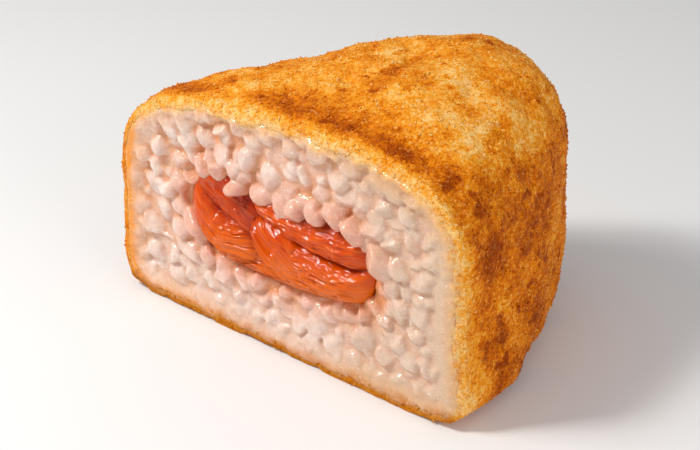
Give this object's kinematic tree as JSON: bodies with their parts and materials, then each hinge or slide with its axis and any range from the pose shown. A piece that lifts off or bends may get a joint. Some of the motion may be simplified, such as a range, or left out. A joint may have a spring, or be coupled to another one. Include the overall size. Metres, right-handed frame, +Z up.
{
  "type": "onigiri rice ball",
  "caption": "Half of a crusted triangular rice ball lying on its broad side, cut open to show short rice grains round a folded salmon filling.",
  "frame": {"origin": "middle of the underside that the half lies on", "axes": "+Z up; the cut faces -Y; -X towards the triangle's apex, +X towards its base wall"},
  "size_m": [0.0616, 0.0436, 0.0397],
  "materials": {
    "crusted_rice": "crisp, granular, golden brown crust; moist, translucent rice at the cut",
    "salmon": "moist, glossy, finely striated cooked fish"
  },
  "bodies": {
    "root": {"rice_ball": "crusted_rice", "salmon_filling": "salmon"}
  },
  "joints": []
}
